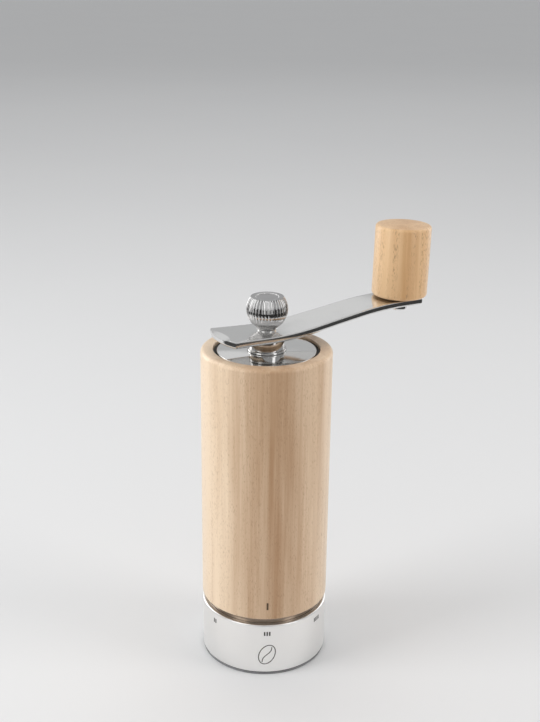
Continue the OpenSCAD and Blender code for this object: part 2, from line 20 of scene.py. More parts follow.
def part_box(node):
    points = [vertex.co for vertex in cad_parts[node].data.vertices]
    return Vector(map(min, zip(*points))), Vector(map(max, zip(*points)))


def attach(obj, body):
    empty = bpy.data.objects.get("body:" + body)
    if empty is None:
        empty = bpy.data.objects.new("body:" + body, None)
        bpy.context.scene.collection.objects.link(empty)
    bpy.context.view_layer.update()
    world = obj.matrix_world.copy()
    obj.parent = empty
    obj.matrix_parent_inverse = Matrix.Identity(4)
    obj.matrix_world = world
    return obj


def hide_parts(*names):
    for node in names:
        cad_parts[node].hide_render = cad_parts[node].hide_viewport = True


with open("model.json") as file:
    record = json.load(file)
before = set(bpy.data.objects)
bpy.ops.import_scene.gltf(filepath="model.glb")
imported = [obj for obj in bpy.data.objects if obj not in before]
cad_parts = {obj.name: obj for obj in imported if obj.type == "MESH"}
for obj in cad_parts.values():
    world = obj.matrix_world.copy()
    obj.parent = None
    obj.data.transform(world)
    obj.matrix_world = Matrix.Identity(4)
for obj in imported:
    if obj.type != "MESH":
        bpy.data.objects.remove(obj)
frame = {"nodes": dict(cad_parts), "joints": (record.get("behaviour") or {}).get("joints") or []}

log = logging.getLogger("grinder")

MM = 0.001
MIDDLE = Vector((0, 0, 0.09))
Color = tuple[float, float, float]


# ---------------------------------------------------------------- bench tools


class Kind(Enum):
    """What a selection is made of in edit mode."""

    VERT = "VERT"
    EDGE = "EDGE"
    FACE = "FACE"


@dataclass(frozen=True)
class Corner:
    """A corner of a turned profile: radius, height and the rounding of the corner."""

    r: float
    z: float
    soft: float = 0.0


@dataclass(frozen=True)
class Reach:
    """Lowest and highest corner of a frame node at rest, in millimetres."""

    low: Vector
    high: Vector

    @classmethod
    def of(cls, node: str) -> "Reach":
        """Reads the box of the node of that name."""
        low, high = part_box(node)
        return cls(low / MM, high / MM)

    @property
    def radius(self) -> float:
        """Outer radius of a node that stands on the mill's axis."""
        return self.high.x


class Bench:
    """Modelling moves that the pieces share."""

    @staticmethod
    def clear() -> None:
        """Deselects everything."""
        bpy.ops.object.select_all(action="DESELECT")

    @staticmethod
    def hold(piece: bpy.types.Object) -> None:
        """Makes the piece the only one selected, and the active one."""
        Bench.clear()
        piece.select_set(True)
        bpy.context.view_layer.objects.active = piece

    @staticmethod
    def named(name: str) -> bpy.types.Object:
        """Names the object that an operator has just added."""
        piece = bpy.context.object
        piece.name = piece.data.name = name
        return piece

    @staticmethod
    @contextmanager
    def shaping(piece: bpy.types.Object) -> Iterator[None]:
        """Holds the piece in edit mode, with nothing selected to begin with."""
        Bench.hold(piece)
        bpy.ops.object.mode_set(mode="EDIT")
        bpy.ops.mesh.select_mode(type=Kind.VERT.value)
        bpy.ops.mesh.select_all(action="DESELECT")
        yield
        bpy.ops.object.mode_set(mode="OBJECT")

    @staticmethod
    def pick(piece: bpy.types.Object, kind: Kind, test: Callable[..., bool]) -> None:
        """Selects the vertices, edges or faces of a piece in edit mode that pass a test.

        Args:
            piece: The piece that is being shaped.
            kind: What is selected.
            test: Called with each element; True selects it.
        """
        bpy.ops.mesh.select_all(action="DESELECT")
        bpy.ops.mesh.select_mode(type=kind.value)
        mesh = bmesh.from_edit_mesh(piece.data)
        rows = {Kind.VERT: mesh.verts, Kind.EDGE: mesh.edges, Kind.FACE: mesh.faces}[kind]
        for row in [row for row in rows if test(row)]:
            row.select_set(True)
        mesh.select_flush_mode()
        bmesh.update_edit_mesh(piece.data)

    @staticmethod
    def pick_near(piece: bpy.types.Object, spots: Sequence[Vector]) -> None:
        """Selects the vertices that lie on the given spots, which are in metres."""
        Bench.pick(
            piece, Kind.VERT, lambda v: any((v.co - spot).length < 1e-6 for spot in spots)
        )

    @staticmethod
    def apply(piece: bpy.types.Object, kind: str, **settings: object) -> None:
        """Adds a modifier to the piece and applies it.

        Args:
            piece: The piece that takes the modifier.
            kind: The modifier's type.
            **settings: Its properties.
        """
        Bench.hold(piece)
        modifier = piece.modifiers.new(kind.lower(), kind)
        for key, value in settings.items():
            setattr(modifier, key, value)
        bpy.ops.object.modifier_apply(modifier=modifier.name)

    @staticmethod
    def carve(piece: bpy.types.Object, *cutters: bpy.types.Object) -> None:
        """Takes each cutter's volume out of the piece and throws the cutter away."""
        for cutter in cutters:
            Bench.apply(
                piece, "BOOLEAN", operation="DIFFERENCE", solver="EXACT", object=cutter
            )
            bpy.data.objects.remove(cutter)

    @staticmethod
    def set_down(piece: bpy.types.Object, place: Matrix) -> None:
        """Moves the piece to its place and writes the place into its mesh."""
        Bench.hold(piece)
        piece.matrix_world = place
        bpy.ops.object.transform_apply(location=True, rotation=True, scale=True)

    @staticmethod
    def smooth(piece: bpy.types.Object, angle: float = 35.0) -> None:
        """Shades the piece smooth, with edges sharper than the angle left crisp."""
        Bench.hold(piece)
        bpy.ops.object.shade_smooth_by_angle(angle=math.radians(angle))

    @staticmethod
    def join(name: str, pieces: Sequence[bpy.types.Object]) -> bpy.types.Object:
        """Joins the pieces into one object of that name."""
        Bench.hold(pieces[0])
        for piece in pieces[1:]:
            piece.select_set(True)
        bpy.ops.object.join()
        return Bench.named(name)

    @staticmethod
    def rod(radius: float, low: float, high: float, sides: int = 128) -> bpy.types.Object:
        """Adds an upright round cutter on the axis, from one height to another."""
        Bench.clear()
        bpy.ops.mesh.primitive_cylinder_add(
            vertices=sides,
            radius=radius * MM,
            depth=(high - low) * MM,
            location=(0, 0, (low + high) / 2 * MM),
        )
        return Bench.named("cutter")


class Lathe:
    """Turns profiles round the vertical axis."""

    ARC_STEPS = 5

    @staticmethod
    def turn(name: str, corners: Sequence[Corner], steps: int = 144) -> bpy.types.Object:
        """Makes a closed turned solid from the corners of half its section.

        Args:
            name: Name of the new piece.
            corners: The section's corners in order. One that begins and ends on the
                axis is a solid body; any other is closed into a ring.
            steps: Facets round the full turn.

        Returns:
            The new piece, at the origin, with its normals outward.
        """
        first = Vector((corners[0].r, 0, corners[0].z)) * MM
        Bench.clear()
        bpy.ops.mesh.primitive_plane_add(size=MM, location=first)
        piece = Bench.named(name)
        bpy.ops.object.transform_apply(location=True, rotation=False, scale=False)
        with Bench.shaping(piece):
            bpy.ops.mesh.select_all(action="SELECT")
            bpy.ops.mesh.merge(type="CENTER")
            for here, there in zip(corners, corners[1:]):
                step = Vector((there.r - here.r, 0, there.z - here.z)) * MM
                bpy.ops.mesh.extrude_region_move(TRANSFORM_OT_translate={"value": step})
            if corners[0].r > 0:
                last = Vector((corners[-1].r, 0, corners[-1].z)) * MM
                Bench.pick_near(piece, [first, last])
                bpy.ops.mesh.edge_face_add()
            Lathe._soften(piece, corners)
            bpy.ops.mesh.select_all(action="SELECT")
            bpy.ops.mesh.spin(
                steps=steps, angle=math.tau, center=(0, 0, 0), axis=(0, 0, 1)
            )
            bpy.ops.mesh.select_all(action="SELECT")
            bpy.ops.mesh.remove_doubles(threshold=1e-7)
            bpy.ops.mesh.normals_make_consistent(inside=False)
        Bench.smooth(piece)
        return piece

    @staticmethod
    def _soften(piece: bpy.types.Object, corners: Sequence[Corner]) -> None:
        """Rounds the corners of the wire profile that have a rounding.

        Args:
            piece: The profile, in edit mode.
            corners: Its corners in order.
        """
        count = len(corners)
        for i, corner in enumerate(corners):
            if corner.soft <= 0:
                continue
            here = Vector((corner.r, corner.z))
            before = Vector((corners[i - 1].r, corners[i - 1].z)) - here
            after_corner = corners[(i + 1) % count]
            after = Vector((after_corner.r, after_corner.z)) - here
            turn = math.pi - before.angle(after)
            Bench.pick_near(piece, [Vector((corner.r, 0, corner.z)) * MM])
            bpy.ops.mesh.bevel(
                offset=corner.soft * math.tan(turn / 2) * MM,
                offset_type="OFFSET",
                segments=Lathe.ARC_STEPS,
                affect="VERTICES",
            )


# ---------------------------------------------------------------- shader tools


class Wire:
    """A node's output that takes part in arithmetic; each operation adds a Math node."""

    def __init__(self, recipe: "Recipe", socket: bpy.types.NodeSocket) -> None:
        """Wraps an output socket of a recipe's tree."""
        self.recipe = recipe
        self.socket = socket

    def _math(self, operation: str, *values: "Wire | float") -> "Wire":
        """Adds a Math node on the given values."""
        return self.recipe.add(
            "ShaderNodeMath", {"operation": operation}, dict(enumerate(values))
        )

    def __add__(self, other: "Wire | float") -> "Wire":
        """Sum."""
        return self._math("ADD", self, other)

    __radd__ = __add__

    def __sub__(self, other: "Wire | float") -> "Wire":
        """Difference."""
        return self._math("SUBTRACT", self, other)

    def __rsub__(self, other: float) -> "Wire":
        """Difference from a number."""
        return self._math("SUBTRACT", other, self)

    def __mul__(self, other: "Wire | float") -> "Wire":
        """Product."""
        return self._math("MULTIPLY", self, other)

    __rmul__ = __mul__

    def __truediv__(self, other: "Wire | float") -> "Wire":
        """Quotient."""
        return self._math("DIVIDE", self, other)

    def __pow__(self, power: float) -> "Wire":
        """Power."""
        return self._math("POWER", self, power)

    def above(self, low: float, high: float) -> "Wire":
        """0 below low, 1 above high, and a smooth step between."""
        return self.recipe.add(
            "ShaderNodeMapRange",
            {"interpolation_type": "SMOOTHSTEP"},
            {"Value": self, "From Min": low, "From Max": high},
        )

    def clamped(self) -> "Wire":
        """Kept between 0 and 1."""
        return self.recipe.add("ShaderNodeClamp", sockets={"Value": self})


class Recipe:
    """A material's node tree, and the nodes that finishes use most."""

    def __init__(self, name: str) -> None:
        """Starts an empty material of that name."""
        self.material = bpy.data.materials.new(name)
        self.material.use_nodes = True
        self.tree = self.material.node_tree
        self.tree.nodes.clear()

    def add(
        self,
        kind: str,
        settings: dict[str, object] | None = None,
        sockets: dict[str | int, object] | None = None,
        out: str | int = 0,
    ) -> Wire:
        """Adds a node.

        Args:
            kind: The node's type.
            settings: Its properties, set before its sockets.
            sockets: Values or wires for its inputs, by name or number.
            out: The output that is returned.

        Returns:
            That output.
        """
        node = self.tree.nodes.new(kind)
        for key, value in (settings or {}).items():
            setattr(node, key, value)
        for key, value in (sockets or {}).items():
            if isinstance(value, Wire):
                self.tree.links.new(value.socket, node.inputs[key])
            else:
                node.inputs[key].default_value = value
        return Wire(self, node.outputs[out] if node.outputs else None)

    def place(self) -> Wire:
        """Object coordinates, which are the shared frame's, in metres."""
        return self.add("ShaderNodeTexCoord", out="Object")

    def mapped(
        self, scale: Sequence[float], turn: Sequence[float] = (0, 0, 0)
    ) -> Wire:
        """Object coordinates, turned by degrees and then scaled."""
        angles = tuple(math.radians(a) for a in turn)
        return self.add(
            "ShaderNodeMapping",
            sockets={"Vector": self.place(), "Rotation": angles, "Scale": tuple(scale)},
        )

    def noise(
        self, vector: Wire, size: float, detail: float = 2.0, rough: float = 0.5,
        warp: float = 0.0,
    ) -> Wire:
        """Adds cloudy noise.

        Args:
            vector: The place it is read at, in metres.
            size: Rough size of its lumps in millimetres.
            detail: How many finer layers it has.
            rough: How strong the finer layers are.
            warp: How far it is bent out of true.

        Returns:
            A value from 0 to 1.
        """
        return self.add(
            "ShaderNodeTexNoise",
            sockets={
                "Vector": vector,
                "Scale": 1 / (size * MM),
                "Detail": detail,
                "Roughness": rough,
                "Distortion": warp,
            },
            out="Fac",
        )

    def lines(self, value: Wire, pitch: float, detail: float = 2.0) -> Wire:
        """Noise along one value in metres, whose lines are about pitch millimetres."""
        return self.add(
            "ShaderNodeTexNoise",
            {"noise_dimensions": "1D"},
            {"W": value, "Scale": 1 / (pitch * MM), "Detail": detail},
            out="Fac",
        )

    def blend(self, amount: Wire | float, low: Wire | Color, high: Wire | Color) -> Wire:
        """Mixes two colours."""
        ends = [c if isinstance(c, Wire) else (*c, 1.0) for c in (low, high)]
        return self.add(
            "ShaderNodeMix",
            {"data_type": "RGBA"},
            {0: amount, 6: ends[0], 7: ends[1]},
            out=2,
        )

    def radius(self) -> Wire:
        """Distance from the mill's axis."""
        flat = self.add(
            "ShaderNodeVectorMath",
            {"operation": "MULTIPLY"},
            {0: self.place(), 1: (1, 1, 0)},
        )
        return self.add(
            "ShaderNodeVectorMath", {"operation": "LENGTH"}, {0: flat}, out="Value"
        )

    def along(self, axis: str) -> Wire:
        """Place along X, Y or Z; Z is the height above the table."""
        return self.add("ShaderNodeSeparateXYZ", sockets={0: self.place()}, out=axis)

    def bump(self, relief: Wire, depth: float, strength: float = 1.0) -> Wire:
        """Turns a relief from 0 to 1 into a normal; depth is its height in millimetres."""
        return self.add(
            "ShaderNodeBump",
            sockets={"Height": relief, "Distance": depth * MM, "Strength": strength},
        )

    def finish(self, **sockets: Wire | float | Color) -> bpy.types.Material:
        """Closes the recipe with a surface shader.

        Args:
            **sockets: The shader's inputs, with _ for a space.

        Returns:
            The material.
        """
        values = {
            key.replace("_", " "): (*v, 1.0) if isinstance(v, tuple) else v
            for key, v in sockets.items()
        }
        surface = self.add("ShaderNodeBsdfPrincipled", sockets=values)
        self.add("ShaderNodeOutputMaterial", sockets={"Surface": surface})
        return self.material


# ---------------------------------------------------------------- finishes


@dataclass(frozen=True)
class Beech:
    """Light beech under a thin satin lacquer, with its grain upright.

    Growth bands run through the block, fine streaks follow them, and short dark flecks
    lie along the grain; on a cut end the same pattern shows as small pores. The colour
    is painted paler towards the left and right of an upright line near the front, which
    is painted light on the sides. A darker streak down that line is the wood's own
    streak with painted shade in it.
    """

    pale: Color = (0.82, 0.64, 0.455)
    warm: Color = (0.43, 0.245, 0.12)
    fleck: Color = (0.28, 0.155, 0.075)
    flecked: float = 0.32
    tick: float = 0.63
    band: float = 7.0
    turn: float = 20.0
    # where the painted side light and the painted front shade lie, and how wide they are, in
    # millimetres
    shade_centre_x: float = 4.0
    side_light_spread: float = 25.0
    streak_and_shade: float = 4.5
    rough: float = 0.42
    coat: float = 0.5

    def paint(self, name: str) -> bpy.types.Material:
        """Makes the material."""
        m = Recipe(name)
        upright = m.mapped((1, 1, 0.045), (0, 0, self.turn))
        bands = m.noise(upright, self.band, 2.0, 0.55, 0.3).above(0.30, 0.72)
        streaks = m.noise(m.mapped((1, 1, 0.02)), 0.9, 3.0, 0.6)
        fine = m.noise(m.mapped((1, 1, 0.03)), 0.22, 2.0, 0.5)
        ticks = m.noise(m.mapped((1, 1, 0.2)), 0.3, 0.0).above(self.tick, self.tick + 0.08)
        clouds = m.noise(m.mapped((1, 1, 0.3)), 16.0, 2.0)
        # painted light: paler away from the front line on both sides, and darker in a streak on
        # that line, which is painted shade together with the wood's own streak
        off = m.along("X") / MM - self.shade_centre_x + (clouds - 0.5) * 5
        painted_side_light = (off / self.side_light_spread) ** 2
        streak_and_shade = 1 - ((off / self.streak_and_shade) ** 2).clamped()
        tone = bands * 0.35 + streaks * 0.5 + fine * 0.18 + streak_and_shade * 0.22 - painted_side_light * 0.55
        tone = (tone + 0.17).clamped()
        wood = m.blend(tone, self.pale, self.warm)
        patchy = ticks * m.noise(upright, 3.0, 1.0).above(0.3, 0.6)
        color = m.blend(patchy * self.flecked, wood, self.fleck)
        return m.finish(
            Base_Color=color,
            Roughness=(self.rough + streaks * 0.08 + ticks * 0.15),
            Coat_Weight=self.coat - ticks * 0.12,
            Coat_Roughness=0.28,
            Normal=m.bump(1 - (ticks * 0.7 + fine * 0.3), 0.02, 0.5),
        )


@dataclass(frozen=True)
class LatheSteel:
    """Steel finished in the lathe, with fine lines that run round the axis."""

    light: Color = (0.80, 0.79, 0.775)
    dark: Color = (0.70, 0.69, 0.68)
    rough: float = 0.30
    pitch: float = 0.12
    depth: float = 0.0015
    mottle: float = 0.05

    def paint(self, name: str) -> bpy.types.Material:
        """Makes the material."""
        m = Recipe(name)
        cut = m.lines(m.radius() + m.along("Z"), self.pitch, 3.0)
        cloud = m.noise(m.place(), 9.0, 3.0)
        return m.finish(
            Base_Color=m.blend((cut * 0.7 + cloud * 0.3).clamped(), self.dark, self.light),
            Metallic=1.0,
            Roughness=self.rough + (cut - 0.5) * 0.12 + (cloud - 0.5) * self.mottle,
            Normal=m.bump(cut, self.depth, 0.6),
        )


@dataclass(frozen=True)
class MirrorSteel:
    """Polished steel with faint hairline scratches and the odd dull patch."""

    tone: Color = (0.77, 0.765, 0.755)
    worn: Color = (0.70, 0.695, 0.69)
    rough: float = 0.07
    wear: float = 0.07
    turn: float = 0.0

    def paint(self, name: str) -> bpy.types.Material:
        """Makes the material."""
        m = Recipe(name)
        hair = m.noise(m.mapped((0.03, 1, 1), (0, 0, self.turn)), 0.12, 0.0)
        hair = hair.above(0.70, 0.80)
        patch = m.noise(m.place(), 14.0, 3.0).above(0.45, 0.8)
        return m.finish(
            Base_Color=m.blend((hair * 0.6 + patch * 0.5).clamped(), self.tone, self.worn),
            Metallic=1.0,
            Roughness=self.rough + patch * self.wear * 0.6 + hair * self.wear,
            Normal=m.bump(1 - hair, 0.0006, 0.4),
        )


@dataclass(frozen=True)
class CastBronze:
    """Sintered bronze, with its open pores."""

    tone: Color = (0.62, 0.43, 0.20)
    pore: Color = (0.26, 0.16, 0.07)

    def paint(self, name: str) -> bpy.types.Material:
        """Makes the material."""
        m = Recipe(name)
        pores = m.noise(m.place(), 0.25, 1.0).above(0.6, 0.72)
        cloud = m.noise(m.place(), 4.0, 3.0)
        return m.finish(
            Base_Color=m.blend((pores * 0.7 + cloud * 0.2).clamped(), self.tone, self.pore),
            Metallic=0.9,
            Roughness=0.36 + pores * 0.3 + cloud * 0.1,
            Normal=m.bump(1 - pores, 0.01, 0.5),
        )


@dataclass(frozen=True)
class Rubber:
    """Moulded rubber with a fine matt skin and a little dust."""

    tone: Color = (0.060, 0.060, 0.062)
    dust: Color = (0.115, 0.115, 0.117)

    def paint(self, name: str) -> bpy.types.Material:
        """Makes the material."""
        m = Recipe(name)
        skin = m.noise(m.place(), 0.3, 2.0)
        dust = m.noise(m.place(), 6.0, 4.0, 0.6).above(0.4, 0.75)
        return m.finish(
            Base_Color=m.blend(dust * 0.6 + skin * 0.2, self.tone, self.dust),
            Roughness=0.66 + skin * 0.16,
            Normal=m.bump(skin, 0.012, 0.5),
        )


@dataclass(frozen=True)
class EtchedMark:
    """The dark, slightly uneven bottom of an etched or burnt mark."""

    tone: Color = (0.050, 0.046, 0.042)
    thin: Color = (0.110, 0.100, 0.090)
    metal: float = 0.35

    def paint(self, name: str) -> bpy.types.Material:
        """Makes the material."""
        m = Recipe(name)
        grain = m.noise(m.place(), 0.35, 3.0, 0.65)
        return m.finish(
            Base_Color=m.blend(grain.above(0.35, 0.75), self.tone, self.thin),
            Metallic=self.metal,
            Roughness=0.5 + grain * 0.25,
            Normal=m.bump(grain, 0.004, 0.5),
        )


@dataclass(frozen=True)
class StudioPaper:
    """Plain matt paper, with hardly any cloudiness."""

    tone: Color = (0.80, 0.80, 0.80)
    shade: Color = (0.78, 0.78, 0.785)

    def paint(self, name: str) -> bpy.types.Material:
        """Makes the material."""
        m = Recipe(name)
        cloud = m.noise(m.place(), 260.0, 3.0)
        return m.finish(
            Base_Color=m.blend(cloud, self.tone, self.shade),
            Roughness=0.9,
            Specular_IOR_Level=0.2,
        )


class Paintbox:
    """Keeps one material for each of the record's slots."""

    def __init__(self) -> None:
        """Lists the finishes by slot, and the nodes whose finish isn't their slot's."""
        self.finishes = {
            "beech": Beech(),
            # the grip's wood, with its painted side light and painted front shade centred on the
            # grip
            "beech_grip": Beech(
                pale=(0.86, 0.60, 0.345), warm=(0.60, 0.34, 0.145), flecked=0.6, band=5.0,
                turn=55.0, shade_centre_x=62.0, side_light_spread=15.0, streak_and_shade=3.0, tick=0.60,
            ),
            "satin_steel": LatheSteel(
                light=(0.97, 0.96, 0.945), dark=(0.91, 0.90, 0.885), rough=0.34
            ),
            "polished_steel": MirrorSteel(),
            # the neck ring's steel, dark and brown: painted shade of the narrow gap under the
            # wood, with a painted reflection of the wood in it
            "shaded_neck_steel": MirrorSteel(
                tone=(0.28, 0.22, 0.17), worn=(0.20, 0.155, 0.12), rough=0.12
            ),
            "arm_steel": MirrorSteel(rough=0.13, wear=0.06, turn=-27.5),
            "knob_steel": MirrorSteel(
                tone=(0.56, 0.555, 0.55), worn=(0.47, 0.465, 0.46), rough=0.06
            ),
            "turned_steel": LatheSteel(
                light=(0.66, 0.66, 0.665), dark=(0.50, 0.50, 0.505), rough=0.32, pitch=0.35,
                depth=0.004, mottle=0.12,
            ),
            "burr_steel": LatheSteel(
                light=(0.42, 0.42, 0.43), dark=(0.24, 0.24, 0.25), rough=0.38, pitch=0.25,
                depth=0.004, mottle=0.2,
            ),
            "screw_steel": LatheSteel(
                light=(0.52, 0.52, 0.53), dark=(0.38, 0.38, 0.39), rough=0.34, pitch=0.3,
                depth=0.003, mottle=0.15,
            ),
            "magnet": LatheSteel(
                light=(0.66, 0.655, 0.64), dark=(0.55, 0.54, 0.53), rough=0.2, pitch=0.5,
                depth=0.001, mottle=0.15,
            ),
            "bronze": CastBronze(),
            "foot_rubber": Rubber(tone=(0.19, 0.19, 0.195), dust=(0.27, 0.27, 0.275)),
            "seal_rubber": Rubber(tone=(0.022, 0.022, 0.022), dust=(0.05, 0.05, 0.05)),
            "etched": EtchedMark(),
            "burnt": EtchedMark(
                tone=(0.060, 0.035, 0.015), thin=(0.130, 0.075, 0.035), metal=0.0
            ),
            "paper": StudioPaper(),
            "dark_card": StudioPaper(tone=(0.035, 0.035, 0.035), shade=(0.03, 0.03, 0.03)),
        }
        # the neck ring's dark brown steel is painted shade and a painted reflection of the wood
        self.special = {"neck_ring": "shaded_neck_steel"}
        self.made: dict[str, bpy.types.Material] = {}

    def material(self, slot: str) -> bpy.types.Material:
        """The material of that slot, made the first time it is asked for."""
        if slot not in self.made:
            self.made[slot] = self.finishes[slot].paint(f"{slot}_finish")
        return self.made[slot]

    def dress(self, piece: bpy.types.Object, slot: str) -> None:
        """Gives a new piece the material of a slot, and nothing else."""
        piece.data.materials.clear()
        piece.data.materials.append(self.material(slot))

    def repaint_frame(self) -> None:
        """Gives every frame node the detailed material of its own slot, or a special one."""
        for name, node in frame["nodes"].items():
            for holder in node.material_slots:
                slot = holder.material.name.split(".")[0]
                holder.material = self.material(self.special.get(name, slot))
        log.info("frame nodes painted: %d", len(frame["nodes"]))


# ---------------------------------------------------------------- sub-assemblies


class Assembly:
    """What every sub-assembly does with a finished piece."""

    paints: Paintbox

    def fit(
        self,
        piece: bpy.types.Object,
        body: str,
        slot: str,
        *nodes: str,
        finish: str | None = None,
    ) -> bpy.types.Object:
        """Dresses a piece and ties it to its body.

        Args:
            piece: The finished piece, in place.
            body: The frame body it moves with.
            slot: The record's material slot.
            *nodes: The frame nodes it stands for.
            finish: The finish, where it isn't the slot's own.

        Returns:
            The piece.
        """
        self.paints.dress(piece, finish or slot)
        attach(piece, body)
        if nodes:
            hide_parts(*nodes)
        log.info("%s: %d faces, rides on %s", piece.name, len(piece.data.polygons), body)
        return piece


@dataclass
class BaseCup(Assembly):
    """The rubber foot under the grounds cup."""

    paints: Paintbox
    edge: float = 0.3
    groove_depth: float = 0.3
    groove_width: float = 1.2
    grooves: tuple[float, ...] = (9.0, 16.0, 23.0)

    def build(self) -> None:
        """Builds the foot, with three grip grooves turned into its underside."""
        box = Reach.of("foot_pad")
        under = []
        for r in self.grooves:
            half = self.groove_width / 2
            under += [
                Corner(r - half, 0), Corner(r - half, self.groove_depth),
                Corner(r + half, self.groove_depth), Corner(r + half, 0),
            ]
        foot = Lathe.turn(
            "rubber_foot",
            [
                Corner(0, 0), *under, Corner(box.radius, 0, self.edge),
                Corner(box.radius, box.high.z, self.edge), Corner(0, box.high.z),
            ],
        )
        self.fit(foot, "base_cup", "foot_rubber", "foot_pad")


@dataclass
class MillBody(Assembly):
    """The turned wooden body and its index mark."""

    paints: Paintbox
    bore: float = 22.65
    rim_round: float = 1.8
    rim_inner_round: float = 0.4
    foot_round: float = 0.5
    spigot_r: float = 24.61
    spigot_h: float = 6.0
    index_w: float = 0.85
    index_h: float = 3.5
    index_rise: float = 6.5
    index_proud: float = 0.004
    index_sunk: float = 0.3

    def build(self) -> None:
        """Builds the body and the mark."""
        box = Reach.of("wood_body")
        low, high, r = box.low.z, box.high.z, box.radius
        body = Lathe.turn(
            "wooden_body",
            [
                Corner(self.bore, low + self.spigot_h),
                Corner(self.spigot_r, low + self.spigot_h),
                Corner(self.spigot_r, low),
                Corner(r, low, self.foot_round),
                Corner(r, high, self.rim_round),
                Corner(self.bore, high, self.rim_inner_round),
            ],
            steps=192,
        )
        self.fit(body, "mill", "beech", "wood_body")
        index = Stroke(self.index_w, self.index_h, self.index_sunk, self.index_proud).cut(
            "index_mark", r, low + self.index_rise, 0.0
        )
        self.fit(index, "mill", "beech", finish="burnt")


@dataclass(frozen=True)
class Stroke:
    """An upright stroke let into the front of a round wall."""

    width: float
    height: float
    sunk: float
    proud: float

    def cut(
        self, name: str, wall_r: float, z: float, turn: float, aside: float = 0.0
    ) -> bpy.types.Object:
        """Makes the stroke.

        Args:
            name: Name of the piece.
            wall_r: Outer radius of the wall.
            z: Height of the stroke's centre.
            turn: Place round the wall, in degrees from the front.
            aside: Distance along the wall from that place.

        Returns:
            The stroke, with softened corners, in place.
        """
        depth = self.sunk + self.proud
        Bench.clear()
        bpy.ops.mesh.primitive_cube_add(size=MM)
        stroke = Bench.named(name)
        with Bench.shaping(stroke):
            bpy.ops.mesh.select_all(action="SELECT")
            bpy.ops.transform.resize(value=(self.width, depth, self.height))
            Bench.pick(
                stroke,
                Kind.EDGE,
                lambda e: abs(e.verts[0].co.y - e.verts[1].co.y) > depth * MM / 2,
            )
            bpy.ops.mesh.bevel(offset=self.width * 0.22 * MM, segments=2, affect="EDGES")
        out = wall_r + self.proud - depth / 2
        bearing = math.radians(turn) + aside / wall_r
        place = Matrix.Rotation(bearing, 4, "Z") @ Matrix.Translation(
            Vector((0, -out, z)) * MM
        )
        Bench.set_down(stroke, place)
        return stroke


